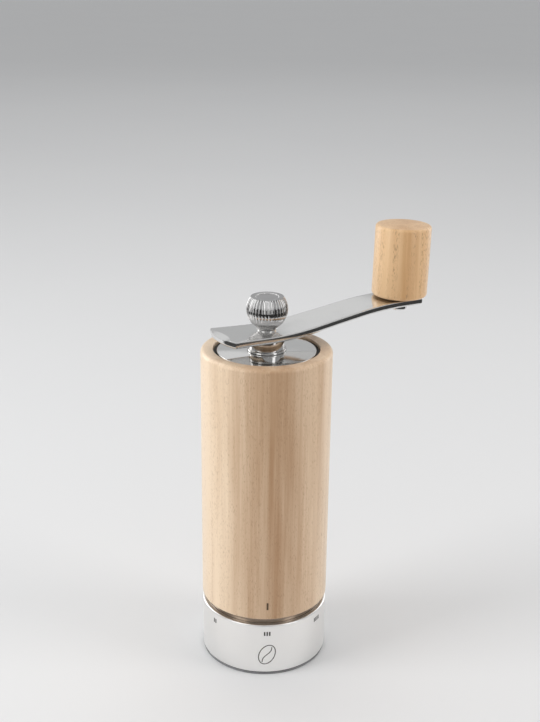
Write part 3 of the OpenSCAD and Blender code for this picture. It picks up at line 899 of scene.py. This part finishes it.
@dataclass
class Selector(Assembly):
    """The base ring with its grind marks and its emblem."""

    paints: Paintbox
    wall: float = 2.14
    top_soft: float = 0.6
    foot_soft: float = 0.4
    floor_low: float = 3.3
    floor_high: float = 5.2
    floor_bore: float = 18.95
    settings: int = 6
    sweep: float = 270.0
    front_setting: int = 3
    mark_drop: float = 4.2
    mark_w: float = 0.68
    mark_h: float = 2.0
    mark_pitch: float = 1.1
    sunk: float = 0.2
    proud: float = 0.012
    emblem_rise: float = 9.0
    bean_half: tuple[float, float] = (3.6, 5.2)
    bean_line: float = 0.42
    bean_lean: float = -24.0
    crease_steps: int = 16
    crease_wave: float = 0.8
    crease_turn: float = 150.0

    def build(self) -> None:
        """Builds the ring, the marks and the emblem."""
        box = Reach.of("base_ring")
        r, low, high = box.radius, box.low.z, box.high.z
        bore = r - self.wall
        ring = Lathe.turn(
            "selector_ring",
            [
                Corner(self.floor_bore, self.floor_low), Corner(bore, self.floor_low),
                Corner(bore, low), Corner(r, low, self.foot_soft),
                Corner(r, high, self.top_soft), Corner(bore, high, 0.12),
                Corner(bore, self.floor_high), Corner(self.floor_bore, self.floor_high),
            ],
            steps=192,
        )
        self.fit(ring, "selector", "satin_steel", "base_ring")
        marks = self._marks(r, high - self.mark_drop)
        bean = self._bean(ring, r, low + self.emblem_rise)
        for etched in (marks, bean):
            self.fit(etched, "selector", "satin_steel", finish="etched")

    def _marks(self, r: float, z: float) -> bpy.types.Object:
        """Makes one to six strokes at the six places round the ring."""
        stroke = Stroke(self.mark_w, self.mark_h, self.sunk, self.proud)
        made = []
        for count in range(1, self.settings + 1):
            turn = (count - self.front_setting) * self.sweep / (self.settings - 1)
            for i in range(count):
                aside = (i - (count - 1) / 2) * self.mark_pitch
                made.append(stroke.cut("stroke", r, z, turn, aside))
        return Bench.join("setting_marks", made)

    def _bean(self, ring: bpy.types.Object, r: float, z: float) -> bpy.types.Object:
        """Makes the outline of a coffee bean with its crease, laid onto the ring.

        Args:
            ring: The finished ring.
            r: Its outer radius.
            z: Height of the bean's centre.

        Returns:
            The outline, sunk into the ring by half the marks' depth.
        """
        wide, tall = self.bean_half
        Bench.clear()
        bpy.ops.mesh.primitive_circle_add(vertices=72, radius=wide * MM, fill_type="NGON")
        outline = Bench.named("bean_outline")
        with Bench.shaping(outline):
            bpy.ops.mesh.select_all(action="SELECT")
            bpy.ops.transform.resize(value=(1, tall / wide, 1))
            bpy.ops.mesh.inset(thickness=self.bean_line * MM)
            bpy.ops.mesh.delete(type="FACE")
        Bench.clear()
        steps = self.crease_steps
        bpy.ops.mesh.primitive_grid_add(x_subdivisions=1, y_subdivisions=steps, size=MM)
        crease = Bench.named("bean_crease")
        with Bench.shaping(crease):
            bpy.ops.mesh.select_all(action="SELECT")
            reach = tall - 2 * self.bean_line
            bpy.ops.transform.resize(value=(self.bean_line, 2 * reach, 1))
            for i in range(steps + 1):
                t = -1 + 2 * i / steps
                row = t * reach * MM
                Bench.pick(crease, Kind.VERT, lambda v: abs(v.co.y - row) < 1e-6)
                wave = self.crease_wave * math.sin(math.radians(self.crease_turn) * t)
                bpy.ops.transform.translate(value=(wave * MM, 0, 0))
        bean = Bench.join("bean_emblem", [outline, crease])
        stand = (
            Matrix.Translation(Vector((0, -(r + tall), z)) * MM)
            @ Matrix.Rotation(math.radians(90), 4, "X")
            @ Matrix.Rotation(math.radians(self.bean_lean), 4, "Z")
        )
        Bench.set_down(bean, stand)
        Bench.apply(bean, "SUBSURF", subdivision_type="SIMPLE", levels=1, render_levels=1)
        Bench.apply(
            bean, "SHRINKWRAP", target=ring, wrap_method="PROJECT", use_project_y=True,
            use_project_x=False, use_project_z=False, use_positive_direction=True,
            use_negative_direction=False, offset=self.proud * MM,
        )
        Bench.apply(bean, "SOLIDIFY", thickness=(self.sunk / 2) * MM, offset=-1)
        with Bench.shaping(bean):
            bpy.ops.mesh.select_all(action="SELECT")
            bpy.ops.mesh.normals_make_consistent(inside=False)
        Bench.smooth(bean)
        return bean


@dataclass
class Head(Assembly):
    """The polished cover that closes the hopper."""

    paints: Paintbox
    bush_r: float = 7.0
    boss_r: float = 9.6
    skirt_in: float = 17.65
    skirt_out: float = 20.45
    skirt_h: float = 6.6
    seal_depth: float = 1.7
    seal_half: float = 1.0
    edge: float = 0.3
    step: float = 1.4
    flange_t: float = 0.7
    # height and clearance of the black ring on the flange, which is painted shade for the gap
    # round the cover
    shade_ring_h: float = 0.25
    shade_ring_gap: float = 0.05
    plate_t: float = 1.5

    def build(self) -> None:
        """Builds the cover plate with its boss and grooved skirt, and a black ring on its flange
        that is painted shade for the gap round the cover.
        """
        box = Reach.of("cover_plate")
        top, under = box.high.z, box.high.z - self.plate_t
        seal_z = under - self.skirt_h / 2
        seal_in = self.skirt_out - self.seal_depth
        cover = Lathe.turn(
            "hopper_cover",
            [
                Corner(self.bush_r, box.low.z), Corner(self.boss_r, box.low.z, 0.4),
                Corner(self.boss_r, under), Corner(self.skirt_in, under),
                Corner(self.skirt_in, under - self.skirt_h, 0.3),
                Corner(self.skirt_out, under - self.skirt_h, 0.5),
                Corner(self.skirt_out, seal_z - self.seal_half),
                Corner(seal_in, seal_z - self.seal_half),
                Corner(seal_in, seal_z + self.seal_half),
                Corner(self.skirt_out, seal_z + self.seal_half),
                Corner(self.skirt_out, under), Corner(box.radius, under, 0.15),
                Corner(box.radius, under + self.flange_t, 0.15),
                Corner(box.radius - self.step, under + self.flange_t),
                Corner(box.radius - self.step, top, self.edge), Corner(self.bush_r, top),
            ],
            steps=192,
        )
        self.fit(cover, "head", "polished_steel", "cover_plate")
        # a black rubber ring on the flange stands for the shade in the gap between the cover and
        # the wood: painted shade
        seat = under + self.flange_t
        foot, crown = seat - self.shade_ring_gap, seat + self.shade_ring_h
        inner, outer = box.radius - self.step, box.radius - self.shade_ring_gap
        shade_ring = Lathe.turn(
            "rim_shade_ring",
            [
                Corner(inner, foot), Corner(outer, foot),
                Corner(outer, crown, 0.1), Corner(inner, crown, 0.1),
            ],
        )
        self.fit(shade_ring, "head", "seal_rubber")


@dataclass
class Crank(Assembly):
    """The hub collar, the bent arm and the nut under the grip."""

    paints: Paintbox
    thick: float = 3.0
    seat_gap: float = 0.1
    tail: float = 20.9
    tail_w: float = 22.0
    tail_half: float = 11.3
    tail_bow: float = 2.6
    end: float = 75.0
    end_w: float = 17.0
    end_half: float = 8.6
    end_bow: float = 1.6
    waist_x: float = 30.8
    waist_w: float = 18.4
    first_bend: tuple[float, float] = (-6.0, 20.0)
    second_bend: tuple[float, float] = (42.0, 66.0)
    slopes: tuple[float, float, float] = (-2.86, 7.4, -1.35)
    top_soft: float = 0.55
    low_soft: float = 1.25
    scoop_depth: float = 0.95
    scoop_len: float = 4.5
    overrun: float = 3.0
    rows: int = 56
    columns: int = 12
    bow_reach: float = 9.0
    collar_bore: float = 5.0
    foot_out: float = 0.7
    foot_h: float = 1.0
    seat_drop: float = 0.07
    seat_r: float = 4.6
    tenon_r: float = 4.0
    bolt_r: float = 3.0
    nut_r: float = 4.0
    nut_h: float = 3.0
    nut_wall: float = 0.8

    def __post_init__(self) -> None:
        """Reads the crank's bearing and the grip's axis from the frame."""
        joint = next(j for j in frame["joints"] if j["name"] == "grip_spin")
        self.grip_pos = Vector(joint["pos_m"])
        self.grip_axis = Vector(joint["axis"])
        self.bearing = math.atan2(self.grip_pos.y, self.grip_pos.x)
        self.seat = Reach.of("hub_collar").high.z

    def rise(self, x: float) -> float:
        """Height of the arm's top at x along it, above its height on the mill's axis."""
        return self._climb(x) - self._climb(0.0)

    def _climb(self, x: float) -> float:
        """Height gained from the start of the first bend."""
        tail, middle, end = (math.tan(math.radians(a)) for a in self.slopes)
        (a0, a1), (b0, b1) = self.first_bend, self.second_bend
        if x < a0:
            return tail * (x - a0)
        height = self._bend(min(x, a1) - a0, a1 - a0, tail, middle)
        if x > a1:
            height += middle * (min(x, b0) - a1)
        if x > b0:
            height += self._bend(min(x, b1) - b0, b1 - b0, middle, end)
        return height + (end * (x - b1) if x > b1 else 0.0)

    @staticmethod
    def _bend(x: float, span: float, start: float, stop: float) -> float:
        """Height gained in a bend whose slope goes from start to stop over a span."""
        return start * x + (stop - start) * x * x / (2 * span)

    def half_width(self, x: float) -> float:
        """Half the arm's width at x."""
        if x < self.waist_x:
            share = (x + self.tail) / (self.waist_x + self.tail)
            return (self.tail_w + (self.waist_w - self.tail_w) * share) / 2
        share = (x - self.waist_x) / (self.end - self.waist_x)
        return (self.waist_w + (self.end_w - self.waist_w) * share) / 2

    @staticmethod
    def _bow(y: float, half: float, bow: float) -> float:
        """How far an arc that stands bow proud over a chord falls back at y."""
        r = (half * half + bow * bow) / (2 * bow)
        return r - math.sqrt(r * r - y * y)

    def build(self) -> None:
        """Builds the collar, the arm and the nut."""
        self.fit(self._collar(), "crank", "polished_steel", "hub_collar", finish="knob_steel")
        self.fit(self._arm(), "crank", "arm_steel", "crank_arm")
        self.fit(self._nut(), "crank", "polished_steel", "grip_nut")

    def _collar(self) -> bpy.types.Object:
        """Turns the collar under the arm, with a small foot round it."""
        box = Reach.of("hub_collar")
        low, high, foot_r, bore = box.low.z, box.high.z, box.radius, self.collar_bore
        r, foot_top = foot_r - self.foot_out, low + self.foot_h
        return Lathe.turn(
            "crank_collar",
            [
                Corner(bore, low), Corner(foot_r, low, 0.2), Corner(foot_r, foot_top, 0.4),
                Corner(r, foot_top, 0.2), Corner(r, high, 0.25), Corner(bore, high),
            ],
        )

    def _arm(self) -> bpy.types.Object:
        """Bends a flat sheet into the arm, thickens it, softens its edges and cuts it.

        Returns:
            The arm, turned to the crank's bearing.
        """
        start, stop = -(self.tail + self.tail_bow), self.end + self.end_bow
        Bench.clear()
        bpy.ops.mesh.primitive_grid_add(
            x_subdivisions=self.rows, y_subdivisions=self.columns, size=1.0
        )
        arm = Bench.named("bent_arm")
        groups: dict[tuple[int, int], list[int]] = {}
        for v in arm.data.vertices:
            key = (round((v.co.x + 0.5) * self.rows), round(v.co.y * self.columns))
            groups.setdefault(key, []).append(v.index)
        top = self.seat + self.seat_gap + self.thick
        with Bench.shaping(arm):
            bpy.ops.mesh.select_all(action="SELECT")
            bpy.ops.transform.resize(value=(MM, MM, MM))
            for (row, column), members in groups.items():
                flat = start + (stop - start) * row / self.rows
                across = column / (self.columns / 2)
                y = across * self.half_width(flat)
                near_tail = max(0.0, 1 - (flat - start) / self.bow_reach)
                near_end = max(0.0, 1 - (stop - flat) / self.bow_reach)
                x = flat + self._bow(y, self.tail_half, self.tail_bow) * near_tail
                x -= self._bow(y, self.end_half, self.end_bow) * near_end
                was = Vector((row / self.rows - 0.5, column / self.columns, 0))
                goal = Vector((x, y, top + self.rise(x)))
                chosen = set(members)
                Bench.pick(arm, Kind.VERT, lambda v: v.index in chosen)
                bpy.ops.transform.translate(value=(goal - was) * MM)
        Bench.apply(arm, "SOLIDIFY", thickness=self.thick * MM, offset=-1, use_even_offset=True)
        with Bench.shaping(arm):
            self._soften_rim(arm, 1, self.top_soft)
            self._soften_rim(arm, -1, self.low_soft)
        Bench.carve(arm, self._scoop(start, top), *self._holes(top))
        with Bench.shaping(arm):
            Bench.pick(arm, Kind.EDGE, lambda e: self._outlines_scoop(e, start))
            bpy.ops.mesh.mark_sharp()
        Bench.set_down(arm, Matrix.Rotation(self.bearing, 4, "Z"))
        Bench.smooth(arm, 30.0)
        Bench.apply(arm, "WEIGHTED_NORMAL", keep_sharp=True)
        return arm

    def _outlines_scoop(self, edge: bmesh.types.BMEdge, start: float) -> bool:
        """True for a crease in the tail's top, inside the rounded rim."""
        mid = (edge.verts[0].co + edge.verts[1].co) / (2 * MM)
        rim = self.top_soft + 0.1
        if abs(mid.y) > self.half_width(mid.x) - rim or len(edge.link_faces) != 2:
            return False
        end = start + self._bow(mid.y, self.tail_half, self.tail_bow) + rim
        level = min(face.normal.z for face in edge.link_faces) > 0.9
        creased = edge.calc_face_angle(0.0) > math.radians(4)
        return end < mid.x < start + 2 * self.scoop_len and level and creased

    @staticmethod
    def _soften_rim(arm: bpy.types.Object, side: int, soft: float) -> None:
        """Rounds the edge between the arm's rim and its top (side 1) or underside (-1)."""

        def on_rim(edge: bmesh.types.BMEdge) -> bool:
            """True where one face is the rim's and the other lies on the chosen side."""
            tilts = [face.normal.z * side for face in edge.link_faces]
            return len(tilts) == 2 and max(tilts) > 0.8 and abs(min(tilts)) < 0.3

        Bench.pick(arm, Kind.EDGE, on_rim)
        bpy.ops.mesh.bevel(offset=soft * MM, segments=4, affect="EDGES")

    def _scoop(self, start: float, top: float) -> bpy.types.Object:
        """Makes the cutter of the lens-shaped dip in the tail's top."""
        r = (self.tail_w**2 / 4 + self.scoop_depth**2) / (2 * self.scoop_depth)
        length = self.scoop_len + self.overrun
        cutter = Bench.rod(r, -length / 2, length / 2, sides=900)
        tilt = math.radians(90) - math.atan(self.scoop_depth / self.scoop_len)
        place = (
            Matrix.Translation(Vector((start, 0, top + self.rise(start))) * MM)
            @ Matrix.Rotation(tilt, 4, "Y")
            @ Matrix.Translation(
                Vector((self.scoop_depth - r, 0, (length - self.overrun) / 2)) * MM
            )
        )
        Bench.set_down(cutter, place)
        return cutter

    def _holes(self, top: float) -> list[bpy.types.Object]:
        """Makes the cutters of the washer's seat, the spindle's hole and the bolt's hole."""
        past = self.overrun
        seat = Bench.rod(self.seat_r, top - self.seat_drop, top + past)
        tenon = Bench.rod(self.tenon_r, top - self.thick - past, top + past)
        bolt = Bench.rod(self.bolt_r, -self.thick - past, past)
        Bench.set_down(bolt, Matrix.Rotation(-self.bearing, 4, "Z") @ self.grip_place())
        return [seat, tenon, bolt]

    def grip_place(self) -> Matrix:
        """The grip's own frame: origin on the arm's top, z along the grip's axis."""
        lean = self.grip_axis.to_track_quat("Z", "Y").to_matrix().to_4x4()
        return Matrix.Translation(self.grip_pos) @ lean

    def _nut(self) -> bpy.types.Object:
        """Turns the domed nut under the arm's end."""
        top, low = -self.thick, -self.thick - self.nut_h
        roof = low + self.nut_wall
        nut = Lathe.turn(
            "arm_nut",
            [
                Corner(0, low), Corner(self.nut_r, low, 0.8), Corner(self.nut_r, top, 0.1),
                Corner(self.bolt_r, top), Corner(self.bolt_r, roof), Corner(0, roof),
            ],
            steps=72,
        )
        Bench.set_down(nut, self.grip_place())
        return nut


@dataclass
class Knob(Assembly):
    """The fluted ball knob and the washer under it."""

    paints: Paintbox
    seat_gap: float = 0.01
    neck_r: float = 3.4
    cone_h: float = 2.4
    dish_r: float = 5.0
    dish_depth: float = 0.25
    bore: float = 2.0
    bore_h: float = 6.0
    ball_r: float = 8.8
    ball_sunk: float = 0.005
    cone_out: float = 2.6
    cone_knee: tuple[float, float] = (0.78, 0.52)
    flat_edge: float = 0.45
    flutes: int = 36
    facets: int = 8
    flute_depth: float = 0.042
    ball_steps: int = 30

    def build(self) -> None:
        """Builds the knob and its washer."""
        self.fit(self._ball(), "knob", "polished_steel", "ball_knob", finish="knob_steel")
        box = Reach.of("knob_washer")
        top = box.high.z - self.seat_gap
        washer = Lathe.turn(
            "clamp_ring",
            [
                Corner(self.bore, box.low.z), Corner(box.radius, box.low.z, 0.1),
                Corner(box.radius, top, 0.15), Corner(self.bore, top),
            ],
            steps=96,
        )
        self.fit(washer, "clamp_washer", "polished_steel", "knob_washer")

    def _ball(self) -> bpy.types.Object:
        """Turns the ball and presses its flutes, convex between sharp valleys.

        Returns:
            The knob, in place.
        """
        box = Reach.of("ball_knob")
        low, high, r = box.low.z, box.high.z, self.ball_r
        centre = low + r * (1 - self.ball_sunk)
        flat_z = high - centre
        flat_r = math.sqrt(r * r - flat_z * flat_z)
        cone_top = self.neck_r + self.cone_out
        knee_r, knee_h = self.cone_knee
        start = math.asin((low + self.cone_h - centre) / r)
        stop = math.asin(flat_z / r)
        ball = [
            Corner(r * math.cos(a), centre + r * math.sin(a))
            for i in range(self.ball_steps + 1)
            for a in [start + (stop - start) * i / self.ball_steps]
        ]
        ball = [c for c in ball if c.r > cone_top or c.z > centre]
        knob = Lathe.turn(
            "fluted_knob",
            [
                Corner(0, low + self.bore_h), Corner(self.bore, low + self.bore_h),
                Corner(self.bore, low), Corner(self.neck_r, low),
                Corner(cone_top * knee_r, low + self.cone_h * knee_h),
                *ball,
                Corner(flat_r - self.flat_edge, high), Corner(self.dish_r, high, 0.1),
                Corner(self.dish_r - 0.2, high - self.dish_depth),
                Corner(0, high - self.dish_depth),
            ],
            steps=self.flutes * self.facets,
        )
        self._press_flutes(knob, low + 0.2, high - 0.02, self.bore + 0.5)
        return knob

    def _press_flutes(
        self, knob: bpy.types.Object, low: float, high: float, core: float
    ) -> None:
        """Draws each facet's meridian inwards by its share of the flute's depth.

        Args:
            knob: The turned knob.
            low: Height where the flutes begin.
            high: Height where they end.
            core: Radius inside which nothing moves.
        """
        steps = self.flutes * self.facets

        def facet(v: bmesh.types.BMVert) -> int:
            """Place of a vertex within its flute, or -1 outside the fluted skin."""
            outside = v.co.xy.length > core * MM and low * MM < v.co.z < high * MM
            turn = round(math.atan2(v.co.y, v.co.x) / math.tau * steps)
            return turn % self.facets if outside else -1

        with Bench.shaping(knob):
            for place in range(self.facets):
                draw = 1 - math.sin(math.pi * place / self.facets)
                if draw <= 0:
                    continue
                Bench.pick(knob, Kind.VERT, lambda v: facet(v) == place)
                scale = 1 - self.flute_depth * draw
                bpy.ops.transform.resize(
                    value=(scale, scale, 1), center_override=(0, 0, 0)
                )
        Bench.smooth(knob, 25.0)


@dataclass
class Grip(Assembly):
    """The wooden grip that spins on its bolt."""

    paints: Paintbox
    place: Matrix
    r: float = 12.3
    height: float = 31.75
    gap: float = 0.55
    bore: float = 5.5
    bore_h: float = 23.0
    top_soft: float = 1.3
    low_soft: float = 1.4

    def build(self) -> None:
        """Builds the grip and leans it onto its axis."""
        low, high = self.gap, self.gap + self.height
        grip = Lathe.turn(
            "wooden_grip",
            [
                Corner(0, low + self.bore_h), Corner(self.bore, low + self.bore_h),
                Corner(self.bore, low), Corner(self.r, low, self.low_soft),
                Corner(self.r, high, self.top_soft), Corner(0, high),
            ],
        )
        Bench.set_down(grip, self.place)
        self.fit(grip, "grip", "beech_grip", "grip_handle")


# ---------------------------------------------------------------- studio


@dataclass(frozen=True)
class Softbox:
    """A large even light that faces the mill.

    Its bearing is in degrees from the front towards the right, its other sizes are in
    metres, and face is how bright it looks. One that only shines is a reflector for the
    polished surfaces, and one that only lights leaves no glint in them.
    """

    name: str
    bearing: float
    away: float
    height: float
    size: tuple[float, float]
    face: float
    tint: Color = (1.0, 1.0, 1.0)
    lights: bool = True
    shines: bool = True

    def hang(self) -> None:
        """Adds the light, facing the middle of the mill."""
        data = bpy.data.lights.new(self.name, "AREA")
        data.shape = "RECTANGLE"
        data.size, data.size_y = self.size
        data.energy = self.face * math.pi * self.size[0] * self.size[1]
        data.color = self.tint
        lamp = bpy.data.objects.new(self.name, data)
        bpy.context.scene.collection.objects.link(lamp)
        turn = math.radians(self.bearing)
        lamp.location = (
            self.away * math.sin(turn), -self.away * math.cos(turn), self.height
        )
        back = lamp.location - MIDDLE
        lamp.rotation_euler = back.to_track_quat("Z", "Y").to_euler()
        lamp.visible_camera = False
        lamp.visible_diffuse = self.lights
        lamp.visible_glossy = self.shines


@dataclass
class Studio:
    """The pale floor, the cards, the lights and the camera.

    The eye is in millimetres, angles are in degrees, and the sizes of the floor, the
    screen and the ceiling are in metres.
    """

    paints: Paintbox
    floor_half: float = 24.0
    sky: float = 0.51
    screen_r: float = 0.9
    screen_foot: float = 0.24
    screen_h: float = 0.25
    screen_half: float = 103.0
    ceiling: float = 2.2
    ceiling_at: tuple[float, float, float] = (0.0, 0.2, 1.2)
    lens: float = 56.28
    eye: tuple[float, float, float] = (-1.43, -449.9, 300.8)
    pitch: float = 19.947
    yaw: float = 0.366
    roll: float = 0.680
    swing: float = -3.0
    boxes: tuple[Softbox, ...] = (
        Softbox("left_box", -75, 1.1, 0.50, (0.6, 1.1), 4.2, shines=False),
        Softbox("right_box", 72, 1.1, 0.45, (0.5, 1.0), 3.2, (1.0, 0.96, 0.93), shines=False),
        Softbox("top_box", 180, 0.25, 1.4, (1.0, 1.0), 1.3, shines=False),
        Softbox("back_box", 180, 1.9, 1.45, (2.6, 1.2), 0.25),
        Softbox("left_strip", -50, 0.42, 0.28, (0.20, 0.6), 1.4, lights=False),
        Softbox("right_strip", 47, 0.42, 0.28, (0.13, 0.6), 1.5, lights=False),
        Softbox("left_rim", -128, 0.8, 0.40, (0.4, 0.9), 2.6, lights=False),
        Softbox("right_rim", 128, 0.8, 0.40, (0.4, 0.9), 1.4, lights=False),
    )

    def build(self) -> None:
        """Sets up the floor, the lights, the world and the camera."""
        self._floor()
        for box in self.boxes:
            box.hang()
        self._cards()
        world = bpy.data.worlds.new("studio")
        world.use_nodes = True
        shade = world.node_tree.nodes["Background"]
        shade.inputs["Color"].default_value = (0.98, 0.99, 1.0, 1.0)
        shade.inputs["Strength"].default_value = self.sky
        bpy.context.scene.world = world
        bpy.context.scene.view_settings.view_transform = "Standard"
        self._camera()

    def _floor(self) -> None:
        """Lays the floor just under the foot."""
        Bench.clear()
        bpy.ops.mesh.primitive_grid_add(
            x_subdivisions=4, y_subdivisions=4, size=2 * self.floor_half
        )
        floor = Bench.named("floor")
        self.paints.dress(floor, "paper")

    def _spare(self, face: bmesh.types.BMFace) -> bool:
        """True for what the screen doesn't need, which is its back."""
        centre = face.calc_center_median()
        return abs(math.degrees(math.atan2(centre.x, -centre.y))) > self.screen_half

    def _cards(self) -> None:
        """Sets a dark card round the front and a grey one overhead, seen only in polish."""
        Bench.clear()
        bpy.ops.mesh.primitive_circle_add(
            vertices=96, radius=self.screen_r, fill_type="NGON"
        )
        screen = Bench.named("dark_screen")
        self.paints.dress(screen, "dark_card")
        with Bench.shaping(screen):
            bpy.ops.mesh.select_all(action="SELECT")
            bpy.ops.mesh.inset(thickness=self.screen_r - self.screen_foot)
            bpy.ops.mesh.delete(type="FACE")
            Bench.pick(
                screen, Kind.EDGE,
                lambda e: min(v.co.length for v in e.verts) > self.screen_r * 0.99,
            )
            bpy.ops.mesh.extrude_region_move(
                TRANSFORM_OT_translate={"value": (0, 0, self.screen_h)}
            )
            Bench.pick(screen, Kind.FACE, self._spare)
            bpy.ops.mesh.delete(type="FACE")
        Bench.set_down(screen, Matrix.Translation((0, 0, MM)))
        Bench.clear()
        bpy.ops.mesh.primitive_plane_add(size=self.ceiling, location=self.ceiling_at)
        ceiling = Bench.named("grey_ceiling")
        self.paints.dress(ceiling, "paper")
        bpy.ops.object.transform_apply(location=True, rotation=False, scale=False)
        for card in (screen, ceiling):
            card.visible_camera = card.visible_diffuse = card.visible_shadow = False

    def _camera(self) -> None:
        """Puts the camera at the viewing angle."""
        data = bpy.data.cameras.new("camera")
        data.lens = self.lens
        data.sensor_width = 36.0
        data.clip_start, data.clip_end = 0.01, 100.0
        camera = bpy.data.objects.new("camera", data)
        bpy.context.scene.collection.objects.link(camera)
        turn = (
            Matrix.Rotation(-math.radians(self.yaw), 4, "Z")
            @ Matrix.Rotation(math.radians(90 - self.pitch), 4, "X")
            @ Matrix.Rotation(math.radians(self.roll), 4, "Z")
        )
        swing = Matrix.Rotation(math.radians(self.swing), 4, "Z")
        camera.matrix_world = swing @ Matrix.Translation(Vector(self.eye) * MM) @ turn
        bpy.context.scene.camera = camera


def main() -> None:
    """Builds and dresses every sub-assembly in order."""
    logging.basicConfig(level=logging.INFO, format="%(name)s: %(message)s")
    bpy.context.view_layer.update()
    paints = Paintbox()
    paints.repaint_frame()
    BaseCup(paints).build()
    MillBody(paints).build()
    Selector(paints).build()
    Head(paints).build()
    crank = Crank(paints)
    crank.build()
    Knob(paints).build()
    Grip(paints, crank.grip_place()).build()
    Studio(paints).build()


if __name__ == "__main__":
    main()
